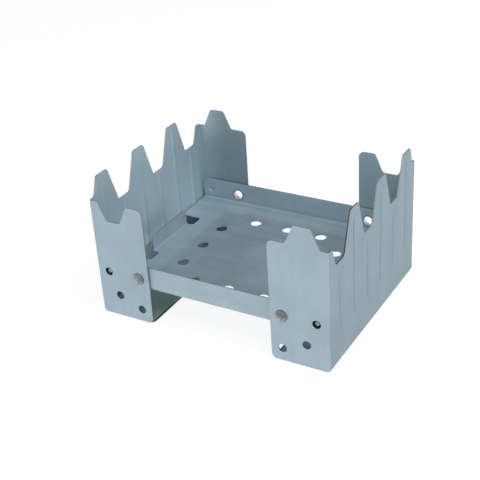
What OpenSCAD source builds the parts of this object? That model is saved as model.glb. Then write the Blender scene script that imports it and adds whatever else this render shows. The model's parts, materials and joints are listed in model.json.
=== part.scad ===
// Folding pocket stove for solid fuel, standing open on its two side panels.
// Millimetres. X runs along the stove, Y from front to rear, Z up. The origin is on the ground
// under the middle of the tray.

/* [Closed case] */
// Length of the closed case
closed_length = 98; // [94:1:110]
// Depth from front to rear, over the flaps
depth = 77; // [70:1:90]
// Height of the closed case, which is also the width of a flap
closed_height = 23; // [22:0.5:30]
// Gap between the two panels' edges where they meet when closed
meeting_gap = 1.2; // [0.8:0.1:2]

/* [Sheet] */
// Thickness of the sheet
sheet = 0.5; // [0.4:0.05:0.7]
// Outer radius of the bends round a side panel's flaps
panel_bend = 0.8; // [0.7:0.1:1.8]
// Outer radius of the bend between a side panel's wall and its foot plate
foot_bend = 1.8; // [1:0.1:2.5]
// Outer radius of the bends between the tray's floor and its rails
rail_bend = 1.2; // [0.8:0.1:1.8]
// Outer radius of the bends between the tray's floor and its end tabs
tab_bend = 1; // [0.8:0.1:2]

/* [Hinges] */
// Height of the hinges above the ground
hinge_height = 19.1; // [18:0.1:22]
// Distance from a hinge to the nearest upright edge of its flap
hinge_to_edge = 4.5; // [4:0.1:6]
// Bore of a hollow rivet
rivet_bore = 3.9; // [3:0.1:4.2]
// Wall of a hollow rivet
rivet_wall = 0.2; // [0.2:0.05:0.4]
// How far a rivet's rolled lip stands out past its shank
rivet_lip = 0.25; // [0.2:0.05:0.5]
// Thickness of a rivet's rolled lip
rivet_lip_thickness = 0.3; // [0.2:0.05:0.4]
// Clearance between a rivet's shank and the hole that turns on it, all round
running_clearance = 0.05; // [0.02:0.01:0.1]
// Clearance between a rivet's shank and the rail that it is fixed in, all round
seat_clearance = 0.02; // [0.01:0.01:0.05]

/* [Toothed edges] */
// Height from the floor of a notch to the top of a tooth
tooth_height = 14.9; // [10:0.1:16]
// Width of a tooth's flat top, and of a notch's flat floor
tooth_top = 6.9; // [4:0.1:8]
// Flat at each end of a broad wall's toothed edge, beside the bend
corner_land = 2.8; // [2.2:0.1:5]
// Radius of the corners of teeth and notches
tooth_round = 1.3; // [0.5:0.1:2]
// Width of the flat top of a flap's tooth
flap_tooth_top = 6.2; // [4:0.1:7]
// Width of a flap's tooth at its feet
flap_tooth_foot = 12.8; // [10:0.1:14]
// Distance from a broad wall to the middle of the tooth or valley of its flaps
flap_tooth_inset = 9.8; // [9:0.1:11]
// Radius of a flap's upper free corner
shoulder_corner = 2.2; // [1:0.1:3]
// Radius of a flap's lower free corner
flap_foot_corner = 3; // [1:0.1:3.5]
// Radius of the foot plate's free corners, beside the flaps
plate_corner = 2; // [1:0.1:4]
// How far the foot plate's free edge stands back from the flaps' edges
foot_inset = 0.4; // [0.3:0.1:4]

/* [Ribs of the broad walls] */
// Width of a rib's groove
rib_width = 3.6; // [2:0.1:4.2]
// Depth of a rib
rib_depth = 0.4; // [0.2:0.05:0.6]
// Height of a rib's lower end above the ground
rib_foot = 12.5; // [8:0.5:20]

/* [Detents] */
// Distance from a hinge to its detent holes
detent_radius = 13.5; // [12:0.1:14]
// Diameter of a detent hole
detent_hole = 3.3; // [2.8:0.1:3.6]
// Diameter of the bump that shows in a detent hole
bump_diameter = 2.4; // [1.8:0.1:2.6]
// Height of the bump
bump_height = 0.35; // [0.2:0.05:0.35]
// Gap between a rail and the flap that turns beside it
rail_gap = 0.4; // [0.4:0.05:0.6]

/* [Tray] */
// Height of the tray's edge above the bottom of the closed case
tray_lift = 0.2; // [0:0.05:0.5]
// Height of a rail, from the tray's underside to its top
rail_height = 9.6; // [8:0.1:11]
// Radius of a rail's upper corners
rail_corner = 4; // [3:0.5:6]
// Gap between the ends of the tray and the broad walls
tray_end_gap = 0.9; // [0.8:0.1:1.5]
// Distance from a rail's inner face to the foot of the long step beside it
step_inset = 7; // [5:0.5:9]
// Length of the slope of the long step
step_run = 2.6; // [2:0.1:5]
// Drop of the long step
step_drop = 0.3; // [0.2:0.05:0.8]
// Length of the recess for the fuel
recess_length = 65; // [60:1:70]
// Width of the recess
recess_width = 58; // [54:0.5:60]
// Drop of the recess
recess_drop = 0.2; // [0.1:0.05:0.8]
// Length of the slope round the recess
recess_run = 2; // [1:0.1:4]
// Radius of the recess's corners
recess_corner = 6; // [4:0.5:10]
// Diameter of a vent
vent_diameter = 4.6; // [3:0.1:6]
// Distance between neighbouring vents in a row of three
vent_pitch = 14.8; // [12:0.1:17]
// Distance from the middle of the tray to the rows of vents at its ends
end_vents = 25.6; // [24:0.1:27]
// Distance from the middle of the tray to the rows of vents along its rails
rail_vents = 24.5; // [22:0.1:25]

/* [End tabs of the tray] */
// Width of an end tab
tab_width = 25; // [20:0.5:28]
// Height of an end tab above the tray's underside
tab_height = 6.7; // [4:0.1:10]
// Distance from a broad wall's inner face to an end tab
tab_inset = 6.9; // [6:0.1:9]
// Radius of an end tab's upper corners
tab_corner = 3; // [1:0.5:5]
// Width of the relief slot at each side of an end tab
slot_width = 6.3; // [3:0.1:8]
// How far the slot runs in past the tab
slot_depth = 3; // [2:0.1:4]
// Radius of the slot's inner corners
slot_corner = 1.5; // [0.5:0.1:2]

/* [Hidden] */
$fn = 48;

zinc = [0.62, 0.70, 0.74];
tray_zinc = [0.50, 0.60, 0.65];
nickel = [0.80, 0.79, 0.75];

arc_steps = 6;          // straight steps in the arc of each rounded corner
reach = 2;              // how far cutting shapes run past what they cut
tooth_count = 3;        // teeth on a broad wall, with as many notches

// Hinges: a closed panel's foot plate stands at the end of the case
hinge_x = closed_length / 2 - hinge_height;
hinge_to_wall = closed_height - hinge_to_edge;
wall_x = hinge_x + hinge_to_wall;
flap_edge_x = hinge_x - hinge_to_edge;
flap_y = depth / 2;
shank_radius = rivet_bore / 2 + rivet_wall;
rivet_grip = 2 * sheet + rail_gap + running_clearance;

// Toothed edges: the two panels' edges lie side by side at mid_level when closed
mid_level = hinge_height + hinge_x - meeting_gap / 2;
tooth_level = mid_level + tooth_height / 2;
notch_level = mid_level - tooth_height / 2;
tooth_pitch = (depth / 2 - corner_land) / tooth_count;
// centres of the notches and teeth in turn, from the right panel's front notch to its rear tooth
edge_places = [for (i = [0 : 2 * tooth_count - 1]) (i - tooth_count + 0.5) * tooth_pitch];
flap_tooth_x = wall_x - flap_tooth_inset;

// Ribs: concentric arcs give the groove outside and the ridge inside one sheet thickness
groove_radius = (pow(rib_width / 2, 2) + pow(rib_depth, 2)) / (2 * rib_depth);
ridge_radius = groove_radius + sheet;
rib_axis_x = wall_x + groove_radius - rib_depth;

// Detent bump: a cap of a sphere, with a smaller cap pressed in behind it
bump_radius = (pow(bump_diameter / 2, 2) + pow(bump_height, 2)) / (2 * bump_height);
punch_radius = 0.25;    // the dot punched in the middle of the bump
punch_depth = 0.15;

// Tray
tray_under = hinge_height - hinge_to_edge + tray_lift;
tray_top = tray_under + sheet;
rail_y = flap_y - sheet - rail_gap;
rail_inner_y = rail_y - sheet;
rail_top = tray_under + rail_height;
tray_end_x = wall_x - sheet - tray_end_gap;
step_foot_y = rail_inner_y - step_inset;
step_round = 6;         // radius of the two soft bends of the long step
floor_top = tray_top - step_drop;
tab_x = wall_x - sheet - tab_inset;
slot_x = tab_x - slot_depth;

function turned(list) = [for (i = [len(list) - 1 : -1 : 0]) list[i]];
function mirrored(list) = [for (p = turned(list)) [-p[0], p[1], p[2]]];
function toward(from, to) = (to - from) / norm(to - from);
function flat(p) = [p[0], p[1]];

// Points of the arc that rounds the corner at b, given as [x, y, radius], between a and c
function corner_arc(a, b, c) =
    let (u = toward(flat(b), flat(a)), v = toward(flat(b), flat(c)))
    let (half = acos(max(-1, min(1, u * v))) / 2)
    let (room = min(norm(flat(a) - flat(b)), norm(flat(c) - flat(b))) * 0.49)
    let (tangent = half > 89.9 ? 0 : min(b[2] / tan(half), room))
    tangent < 0.001 ? [flat(b)] :
    let (radius = tangent * tan(half))
    let (centre = flat(b) + (u + v) / norm(u + v) * radius / sin(half))
    let (start = flat(b) + u * tangent - centre, stop = flat(b) + v * tangent - centre)
    let (from = atan2(start[1], start[0]), sweep = atan2(stop[1], stop[0]) - from)
    let (turn = sweep > 180 ? sweep - 360 : sweep < -180 ? sweep + 360 : sweep)
    [for (k = [0 : arc_steps]) centre + radius * [cos(from + turn * k / arc_steps),
                                                  sin(from + turn * k / arc_steps)]];

// A closed outline from corners given as [x, y, radius]
function rounded(corners) =
    let (n = len(corners))
    [for (i = [0 : n - 1]) each corner_arc(corners[(i + n - 1) % n], corners[i], corners[(i + 1) % n])];

// An outline drawn in X and Y, given height along Z
module along_z(low, high) { translate([0, 0, low]) linear_extrude(high - low) children(); }

// An outline drawn in X and Z, given length along Y
module along_y(low, high) {
    translate([0, high, 0]) rotate([90, 0, 0]) linear_extrude(high - low) children();
}

// An outline drawn in Y and Z, given length along X
module along_x(low, high) {
    translate([low, 0, 0]) rotate([90, 0, 90]) linear_extrude(high - low) children();
}

// A hole along Y through both flaps or both rails
module cross_hole(x, z, radius) {
    translate([x, depth, z]) rotate([90, 0, 0]) cylinder(h = 2 * depth, r = radius);
}

// The right panel as a solid block, or its inner space when inset by the sheet's thickness
module panel_block(inset) {
    bend = max(panel_bend - inset, 0.01);
    wall_to_foot = max(foot_bend - inset, 0.01);
    wall = wall_x - inset;
    side = flap_y - inset;
    open_edge = flap_edge_x - (inset > 0 ? reach : 0);
    top = tooth_level + reach + inset;
    intersection() {
        along_z(0, top)
            polygon(rounded([
                [open_edge, -side, 0], [wall, -side, bend], [wall, side, bend], [open_edge, side, 0]]));
        along_y(-side, side)
            polygon(rounded([
                [open_edge, inset, 0], [wall, inset, wall_to_foot], [wall, top, 0], [open_edge, top, 0]]));
        along_x(open_edge, wall)
            polygon(rounded([[-side, inset, bend], [side, inset, bend], [side, top, 0], [-side, top, 0]]));
    }
}

// Space above the toothed edge of the right panel's broad wall
module above_wall() {
    edge = [for (i = [0 : 2 * tooth_count - 1], side = [-1, 1])
        [edge_places[i] + side * tooth_top / 2, i % 2 == 0 ? notch_level : tooth_level, tooth_round]];
    end_y = tooth_count * tooth_pitch;
    far = flap_y + reach;
    top = tooth_level + 2 * reach;
    along_x(wall_x - panel_bend - rib_depth, wall_x + reach)
        polygon(rounded(concat(
            [[-far, mid_level, 0], [-end_y, mid_level, tooth_round]], edge,
            [[end_y, mid_level, tooth_round], [far, mid_level, 0], [far, top, 0], [-far, top, 0]])));
}

// Space above a flap's edge: the flap has a tooth or a valley, whose level is given
module above_flap(level, from_y, to_y) {
    far = wall_x + reach;
    near = flap_edge_x - reach;
    top = tooth_level + 2 * reach;
    along_y(from_y, to_y)
        polygon(rounded([
            [near, mid_level, 0],
            [flap_tooth_x - flap_tooth_foot / 2, mid_level, tooth_round],
            [flap_tooth_x - flap_tooth_top / 2, level, tooth_round],
            [flap_tooth_x + flap_tooth_top / 2, level, tooth_round],
            [flap_tooth_x + flap_tooth_foot / 2, mid_level, tooth_round],
            [far, mid_level, 0], [far, top, 0], [near, top, 0]]));
}

// What is cut off beyond the free corners of both flaps at height z, for corners of that radius:
// up is 1 at the shoulder and -1 at the foot
module beyond_corner(z, up, radius) {
    centre = [flap_edge_x + radius, z - up * radius];
    for (y = [-flap_y, flap_y]) along_y(y - panel_bend, y + panel_bend)
        difference() {
            translate([flap_edge_x - reach, min(z + up * reach, centre[1])])
                square([reach + radius, reach + radius]);
            translate(centre) circle(r = radius);
        }
}

// What is cut off beyond the free edge of the foot plate
module beyond_plate() {
    side = flap_y - panel_bend;
    edge_x = flap_edge_x + foot_inset;
    along_z(-reach, panel_bend)
        difference() {
            translate([flap_edge_x - reach, -side]) square([reach + foot_inset + plate_corner, 2 * side]);
            polygon(rounded([
                [edge_x, -side, plate_corner], [wall_x, -side, 0],
                [wall_x, side, 0], [edge_x, side, plate_corner]]));
        }
}

// A rib's round tool, with a ball end at the bottom
module rib_tool(radius, y) {
    ball_steps = 2 * arc_steps;
    ball_z = rib_foot + rib_width / 2;
    top = tooth_level + 2 * reach;
    translate([rib_axis_x, y, 0])
        rotate_extrude($fn = 96)
            polygon(concat(
                [for (k = [0 : ball_steps])
                    [radius * sin(90 * k / ball_steps), ball_z - radius * cos(90 * k / ball_steps)]],
                [[radius, top], [0, top]]));
}

// One side panel, in the right panel's place: wall, two flaps and foot folded from one sheet
module side_panel() {
    difference() {
        union() {
            difference() {
                panel_block(0);
                panel_block(sheet);
            }
            intersection() {
                translate([wall_x - sheet - rib_depth - reach, -flap_y + panel_bend, sheet])
                    cube([reach + rib_depth + sheet / 2, depth - 2 * panel_bend, tooth_level]);
                union() for (y = edge_places) rib_tool(ridge_radius, y);
            }
        }
        for (y = edge_places) rib_tool(groove_radius, y);
        above_wall();
        above_flap(tooth_level, -depth, -flap_y + panel_bend);
        above_flap(notch_level, flap_y - panel_bend, depth);
        beyond_corner(mid_level, 1, shoulder_corner);
        beyond_corner(0, -1, flap_foot_corner);
        beyond_plate();
        cross_hole(hinge_x, hinge_height, shank_radius + running_clearance);
        for (angle = [0, 45, 90])
            cross_hole(hinge_x + detent_radius * cos(angle), hinge_height - detent_radius * sin(angle),
                       detent_hole / 2);
    }
}

// Upper or lower surface of the tray's floor and rails, as [y, z, radius] from the middle outwards
function floor_line(z) = [[step_foot_y, z - step_drop, step_round], [step_foot_y + step_run, z, step_round]];

module tray_channel() {
    upper = concat(floor_line(tray_top),
                   [[rail_inner_y, tray_top, rail_bend - sheet], [rail_inner_y, rail_top, 0]]);
    lower = concat(floor_line(tray_under),
                   [[rail_y, tray_under, rail_bend], [rail_y, rail_top, 0]]);
    intersection() {
        along_x(-tray_end_x, tray_end_x)
            polygon(rounded(concat(mirrored(upper), upper, turned(lower), turned(mirrored(lower)))));
        along_y(-rail_y, rail_y)
            polygon(rounded([
                [-tray_end_x, 0, 0], [tray_end_x, 0, 0],
                [tray_end_x, rail_top, rail_corner], [-tray_end_x, rail_top, rail_corner]]));
    }
}

// The pressed form of the recess, from its floor up past the surface that it is pressed in
module recess_form(surface_z) {
    overrun = recess_drop / 2;
    low_radius = recess_corner - recess_run;
    high_radius = recess_corner + recess_run * overrun / recess_drop;
    hull()
        for (x = [-1, 1], y = [-1, 1])
            translate([x * (recess_length / 2 - recess_corner), y * (recess_width / 2 - recess_corner),
                       surface_z - recess_drop])
                cylinder(h = recess_drop + overrun, r1 = low_radius, r2 = high_radius, $fn = 32);
}

// The right end's opening: everything past the slots and the tab is cut away between the corners
module end_opening() {
    half = tab_width / 2 + slot_width;
    along_z(0, tray_top + reach)
        polygon(rounded([
            [slot_x, -half, slot_corner], [tray_end_x + reach, -half, 0],
            [tray_end_x + reach, half, 0], [slot_x, half, slot_corner]]));
}

// The right end's tab, with the tongue of floor that carries it
module end_tab() {
    floor_under = tray_under - step_drop;
    root_x = slot_x - slot_corner;
    half = tab_width / 2;
    tab_top = tray_under + tab_height;
    intersection() {
        along_y(-half, half)
            polygon(rounded([
                [root_x, floor_under, 0], [tab_x + sheet, floor_under, tab_bend],
                [tab_x + sheet, tab_top, 0], [tab_x, tab_top, 0],
                [tab_x, floor_top, tab_bend - sheet], [root_x, floor_top, 0]]));
        along_x(root_x, tab_x + sheet)
            polygon(rounded([
                [-half, floor_under, 0], [half, floor_under, 0],
                [half, tab_top, tab_corner], [-half, tab_top, tab_corner]]));
    }
}

// A bump on the front rail's outer face, as a solid ball to be cut by the rail's faces
module bump(x, radius) {
    translate([x, -rail_y - bump_height + bump_radius, hinge_height]) sphere(r = radius);
}

// A vent through the tray's floor
module vent(x, y) { translate([x, y, 0]) cylinder(h = rail_top, r = vent_diameter / 2); }

module tray() {
    bump_x = hinge_x + detent_radius;
    color(tray_zinc)
        difference() {
            union() {
                difference() {
                    union() {
                        tray_channel();
                        recess_form(tray_under - step_drop);
                    }
                    recess_form(floor_top);
                    for (turn = [0, 180]) rotate([0, 0, turn]) end_opening();
                }
                for (turn = [0, 180]) rotate([0, 0, turn]) end_tab();
                for (turn = [0, 180], side = [-1, 1])
                    rotate([0, 0, turn])
                        intersection() {
                            bump(side * bump_x, bump_radius);
                            translate([-closed_length, -rail_y - reach, 0])
                                cube([2 * closed_length, reach + sheet / 2, depth]);
                        }
            }
            for (turn = [0, 180], side = [-1, 1])
                rotate([0, 0, turn]) {
                    bump(side * bump_x, bump_radius - sheet);
                    translate([side * bump_x, -rail_y - bump_height + punch_depth, hinge_height])
                        rotate([90, 0, 0]) cylinder(h = reach, r = punch_radius);
                }
            for (side = [-1, 1]) cross_hole(side * hinge_x, hinge_height, shank_radius + seat_clearance);
            for (side = [-1, 1], i = [-1 : 1]) {
                vent(side * end_vents, i * vent_pitch);
                vent(i * vent_pitch, side * rail_vents);
            }
        }
}

module left_side_panel() { color(zinc) rotate([0, 0, 180]) side_panel(); }

module right_side_panel() { color(zinc) side_panel(); }

// A hollow rivet on the front rail: it grips the rail and stands out through the flap
module rivet(x) {
    bore = rivet_bore / 2;
    lip = shank_radius + rivet_lip;
    roll = rivet_lip_thickness * 0.45;
    inner_end = -rivet_lip_thickness;
    outer_end = rivet_grip + rivet_lip_thickness;
    color(nickel)
        translate([x, -rail_inner_y, hinge_height])
            rotate([90, 0, 0])
                rotate_extrude($fn = 64)
                    polygon(rounded([
                        [bore, inner_end, roll], [lip, inner_end, roll], [lip, 0, 0], [shank_radius, 0, 0],
                        [shank_radius, rivet_grip, 0], [lip, rivet_grip, 0], [lip, outer_end, roll],
                        [bore, outer_end, roll]]));
}

module rivet_front_left() { rivet(-hinge_x); }

module rivet_front_right() { rivet(hinge_x); }

module rivet_rear_left() { rotate([0, 0, 180]) rivet(hinge_x); }

module rivet_rear_right() { rotate([0, 0, 180]) rivet(-hinge_x); }

tray();
left_side_panel();
right_side_panel();
rivet_front_left();
rivet_front_right();
rivet_rear_left();
rivet_rear_right();
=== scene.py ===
# %% [markdown]
# A folding pocket stove is three pieces of thin zinc-coated steel and four hollow rivets. The real
# sheets are pierced, pressed and folded, and this lesson does the same to meshes: booleans punch the
# outlines and holes, moved points make the ribs and steps, and a formula folds the tray's edges. The
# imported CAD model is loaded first. It fixes the outer sizes, and the new pieces stand in its place.

# %% Load the frame
import json
import math

import bmesh
import bpy
from mathutils import Matrix, Vector


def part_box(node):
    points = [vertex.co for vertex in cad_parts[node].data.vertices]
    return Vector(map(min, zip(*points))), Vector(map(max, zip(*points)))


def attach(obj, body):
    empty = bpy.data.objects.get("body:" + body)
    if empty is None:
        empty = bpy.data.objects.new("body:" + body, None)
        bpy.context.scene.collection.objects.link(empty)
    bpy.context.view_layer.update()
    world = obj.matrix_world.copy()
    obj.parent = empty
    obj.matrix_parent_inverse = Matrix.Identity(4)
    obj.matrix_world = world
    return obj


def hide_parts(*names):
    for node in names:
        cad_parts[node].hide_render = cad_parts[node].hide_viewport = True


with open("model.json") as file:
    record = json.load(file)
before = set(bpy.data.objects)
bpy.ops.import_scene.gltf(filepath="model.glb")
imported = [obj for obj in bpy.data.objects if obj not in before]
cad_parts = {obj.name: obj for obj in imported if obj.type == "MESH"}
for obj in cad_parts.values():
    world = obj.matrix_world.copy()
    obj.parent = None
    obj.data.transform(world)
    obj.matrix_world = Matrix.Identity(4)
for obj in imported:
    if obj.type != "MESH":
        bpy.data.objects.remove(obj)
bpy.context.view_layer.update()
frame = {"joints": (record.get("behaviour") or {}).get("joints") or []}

# %% [markdown]
# Most sizes come from the frame: the corner boxes of the CAD pieces and the place of a hinge. The
# rest are the stamping's own details, each written once as a real size. Blender works in metres, so
# a size in millimetres is multiplied by mm. Blanks and punches reach a little past the finished
# sheet. Teeth and notches take turns along the toothed edge, and a rib stands under each.

# %% Sizes from the frame, and the details that several cells share
mm = 0.001
panel_low, panel_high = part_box("right_side_panel")
tray_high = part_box("tray")[1]
rivet_low, rivet_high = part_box("rivet_front_right")
hinges = {joint["name"]: Vector(joint["pos_m"]) for joint in frame["joints"]}
hinge_x, hinge_z = hinges["right_panel_fold"].x, hinges["right_panel_fold"].z

edge_x, wall_x = panel_low.x, panel_high.x
half_depth = panel_high.y
tooth_z = panel_high.z
sheet = 0.5 * mm
reach = 2.0 * mm

tooth_height = 14.9 * mm
tooth_count = 3
corner_land = 2.8 * mm
mid_z = tooth_z - tooth_height / 2
notch_z = tooth_z - tooth_height
tooth_pitch = (half_depth - corner_land) / tooth_count
edge_places = [(i - tooth_count + 0.5) * tooth_pitch for i in range(2 * tooth_count)]

detent_radius = 13.5 * mm
bump_x = hinge_x + detent_radius
recess_x, recess_y = 32.5 * mm, 29.0 * mm
print("notches and teeth at", [round(y / mm, 2) for y in edge_places])

# %% [markdown]
# The finishes come before the pieces, because a punch carries the colour of a cut edge. A finish is
# a tree of shader nodes. Nodes could be placed by hand in the editor, but the same few joins come
# back dozens of times, so each is a function here: it adds its nodes to a tree and gives back the
# output. A mask is an output that runs from 0 to 1 over the surface.

# %% Helpers for shader nodes
def math_node(tree, operation, first, second=None, third=None):
    """A Math node fed by sockets or numbers. It gives back its output."""
    node = tree.nodes.new("ShaderNodeMath")
    node.operation = operation
    for slot, value in enumerate((first, second, third)):
        if isinstance(value, (int, float)):
            node.inputs[slot].default_value = value
        elif value is not None:
            tree.links.new(value, node.inputs[slot])
    return node.outputs[0]


def product(tree, first, *others):
    """Masks, or numbers after the first, multiplied together."""
    for mask in others:
        first = math_node(tree, "MULTIPLY", mask, first)
    return first


def largest(tree, first, *others):
    """The largest of the masks at each point."""
    for mask in others:
        first = math_node(tree, "MAXIMUM", mask, first)
    return first


def weighted(tree, *pairs, base=0.0):
    """A base value, plus masks that are each multiplied by a weight."""
    total = base
    for mask, weight in pairs:
        total = math_node(tree, "MULTIPLY_ADD", mask, weight, total)
    return total


def inverse(tree, mask):
    """1 where the mask is 0, and 0 where it is 1."""
    return math_node(tree, "SUBTRACT", 1.0, mask)


def rising(tree, value, low, high):
    """0 below low, 1 above high, and a soft slope between."""
    node = tree.nodes.new("ShaderNodeMapRange")
    node.interpolation_type = "SMOOTHSTEP"
    node.inputs["From Min"].default_value = low
    node.inputs["From Max"].default_value = high
    tree.links.new(value, node.inputs["Value"])
    return node.outputs["Result"]


def falling(tree, value, low, high):
    """1 below low, 0 above high, and a soft slope between."""
    return inverse(tree, rising(tree, value, low, high))


# %% [markdown]
# Zinc-coated sheet is bluish, satin and never quite even: the rolls leave long faint streaks, the
# coating has soft blotches, handling leaves dull smears and fine scratches, and the sheet is slightly
# wavy. Each of these is a shader node group, made once and given other values in each finish. A group
# only puts out masks and heights, and the shader itself stays in the material.

# %% Shader node groups
def new_group(name, inputs):
    """An empty node group with a Vector, the named number inputs and one output called Mask."""
    tree = bpy.data.node_groups.new(name, "ShaderNodeTree")
    tree.interface.new_socket("Vector", in_out="INPUT", socket_type="NodeSocketVector")
    for label, value in inputs.items():
        socket = tree.interface.new_socket(label, in_out="INPUT", socket_type="NodeSocketFloat")
        socket.default_value = value
    tree.interface.new_socket("Mask", in_out="OUTPUT", socket_type="NodeSocketFloat")
    return tree, tree.nodes.new("NodeGroupInput").outputs, tree.nodes.new("NodeGroupOutput").inputs


def stretched(tree, vector, per_metre, along_x=1.0, along_y=1.0, along_z=1.0):
    """The vector, scaled by a factor along each axis and a common one."""
    parts = tree.nodes.new("ShaderNodeSeparateXYZ")
    whole = tree.nodes.new("ShaderNodeCombineXYZ")
    tree.links.new(vector, parts.inputs[0])
    for slot, factor in enumerate((along_x, along_y, along_z)):
        scaled = math_node(tree, "MULTIPLY", parts.outputs[slot], factor)
        tree.links.new(math_node(tree, "MULTIPLY", scaled, per_metre), whole.inputs[slot])
    return whole.outputs[0]


def noise(tree, vector, detail, roughness=0.5, scale=1.0):
    """A Noise Texture on a vector. It gives back its value."""
    node = tree.nodes.new("ShaderNodeTexNoise")
    node.inputs["Detail"].default_value = detail
    node.inputs["Roughness"].default_value = roughness
    node.inputs["Scale"].default_value = scale
    tree.links.new(vector, node.inputs["Vector"])
    return node.outputs["Fac"]


def rolling_streaks():
    """Long faint streaks left by the rolls. Stretch X, Y and Z are small along the rolling direction."""
    tree, given, out = new_group("rolling_streaks", {"Streaks per metre": 900.0, "Stretch X": 1.0,
                                                     "Stretch Y": 1.0, "Stretch Z": 0.03})
    lines = stretched(tree, given["Vector"], given["Streaks per metre"],
                      given["Stretch X"], given["Stretch Y"], given["Stretch Z"])
    fine = rising(tree, noise(tree, lines, detail=4, roughness=0.6), low=0.3, high=0.7)
    broad = rising(tree, noise(tree, lines, detail=2, scale=0.22), low=0.35, high=0.65)
    tree.links.new(weighted(tree, (fine, 0.45), (broad, 0.55)), out["Mask"])
    return tree


def coating_blotches():
    """Soft blotches of the zinc coating, with a hint of its crystals."""
    tree, given, out = new_group("coating_blotches", {"Blotches per metre": 70.0})
    even = stretched(tree, given["Vector"], given["Blotches per metre"])
    cloud = rising(tree, noise(tree, even, detail=3, roughness=0.55), low=0.32, high=0.68)
    crystals = tree.nodes.new("ShaderNodeTexVoronoi")
    crystals.inputs["Scale"].default_value = 6.0
    tree.links.new(even, crystals.inputs["Vector"])
    crystal_colour = tree.nodes.new("ShaderNodeSeparateColor")
    tree.links.new(crystals.outputs["Color"], crystal_colour.inputs["Color"])
    tree.links.new(weighted(tree, (cloud, 0.8), (crystal_colour.outputs[0], 0.2)), out["Mask"])
    return tree


def handling_marks():
    """Dull smears and short fine scratches, strongest where the noise is high."""
    tree, given, out = new_group("handling_marks", {"Smears per metre": 45.0, "Amount": 0.5})
    even = stretched(tree, given["Vector"], given["Smears per metre"])
    smear = rising(tree, noise(tree, even, detail=5, roughness=0.65), low=0.52, high=0.75)
    hair = stretched(tree, given["Vector"], given["Smears per metre"],
                     along_x=9.0, along_y=60.0, along_z=14.0)
    scratch = rising(tree, noise(tree, hair, detail=2), low=0.70, high=0.78)
    either = largest(tree, smear, product(tree, scratch, 0.7))
    tree.links.new(product(tree, either, given["Amount"]), out["Mask"])
    return tree


def sheet_waves():
    """The slow unevenness of thin sheet, as a height."""
    tree, given, out = new_group("sheet_waves", {"Waves per metre": 30.0})
    even = stretched(tree, given["Vector"], given["Waves per metre"])
    tree.links.new(noise(tree, even, detail=1), out["Mask"])
    return tree


groups = {make.__name__: make() for make in (rolling_streaks, coating_blotches, handling_marks, sheet_waves)}
print("node groups", sorted(groups))

# %% [markdown]
# The stove's colour isn't the same all over, and much of it is painted light and shade: painted shade
# on the outer broad walls, the tray's recess and the edges near the ground, painted shadow round the
# detent bumps and along the foot plates' free edges, and painted light on the inner walls, the rear
# rail and the tray's middle. Painted textures could show it. Masks made from positions need no
# unwrapping, and they stay true when a size changes. The pieces sit at the origin with their place
# in their mesh, so Object coordinates are metres in the stove's own frame.

# %% Places on the stove
def coordinate(tree, axis):
    """The Object coordinate along an axis. X and Y start at the stove's middle, and Z at the ground."""
    parts = tree.nodes.new("ShaderNodeSeparateXYZ")
    tree.links.new(tree.nodes["Texture Coordinate"].outputs["Object"], parts.inputs[0])
    return parts.outputs[axis]


def off_middle(tree, axis):
    """How far a point lies from the stove's middle along an axis, to either side."""
    return math_node(tree, "ABSOLUTE", coordinate(tree, axis))


def from_axis(tree, x):
    """The distance from a line along Y at hinge height, x to either side of the middle."""
    across = math_node(tree, "SUBTRACT", off_middle(tree, "X"), x)
    up = math_node(tree, "SUBTRACT", coordinate(tree, "Z"), hinge_z)
    return math_node(tree, "SQRT", math_node(tree, "MULTIPLY_ADD", up, up, product(tree, across, across)))


def on_foot(tree):
    """1 on the foot plates, and 0 on all that stands higher."""
    return falling(tree, coordinate(tree, "Z"), 1 * mm, 2 * mm)


# %% Painted light and shade on the side panels
def outer_painted_light(tree):
    """Light on the flaps and the foot, and painted shade on the broad wall's outer face, most of all low
    down. Each rib's groove has painted shade on its front flank and a painted highlight on its rear
    flank. A rib stands in the middle of each pitch."""
    aside = off_middle(tree, "X")
    outer_face = rising(tree, aside, wall_x - 1.4 * mm, wall_x - 1.0 * mm)
    between_flaps = falling(tree, off_middle(tree, "Y"), half_depth - 0.5 * mm, half_depth - 0.1 * mm)
    outer_wall_shade = product(tree, outer_face, between_flaps)
    # Painted shade that grows towards the bottom of the outer wall.
    low = falling(tree, coordinate(tree, "Z"), 2 * mm, 25 * mm)
    within_pitch = math_node(tree, "WRAP", coordinate(tree, "Y"), tooth_pitch, 0.0)
    rear_flank = rising(tree, within_pitch, tooth_pitch / 2 + 0.3 * mm, tooth_pitch / 2 + 0.9 * mm)
    in_groove = falling(tree, aside, wall_x - 0.16 * mm, wall_x - 0.04 * mm)
    deep_in_groove = falling(tree, aside, wall_x - 0.36 * mm, wall_x - 0.16 * mm)
    # The front flank of each groove gets painted shade, and the rear flank a painted highlight.
    groove_front_shade = product(tree, inverse(tree, rear_flank), deep_in_groove)
    groove_rear_highlight = product(tree, rear_flank, in_groove)
    outer_shade_amount = weighted(tree, (outer_wall_shade, 1.0), (low, 0.25), (groove_front_shade, 0.5), (groove_rear_highlight, -0.3))
    return inverse(tree, product(tree, outer_wall_shade, outer_shade_amount))


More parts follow.
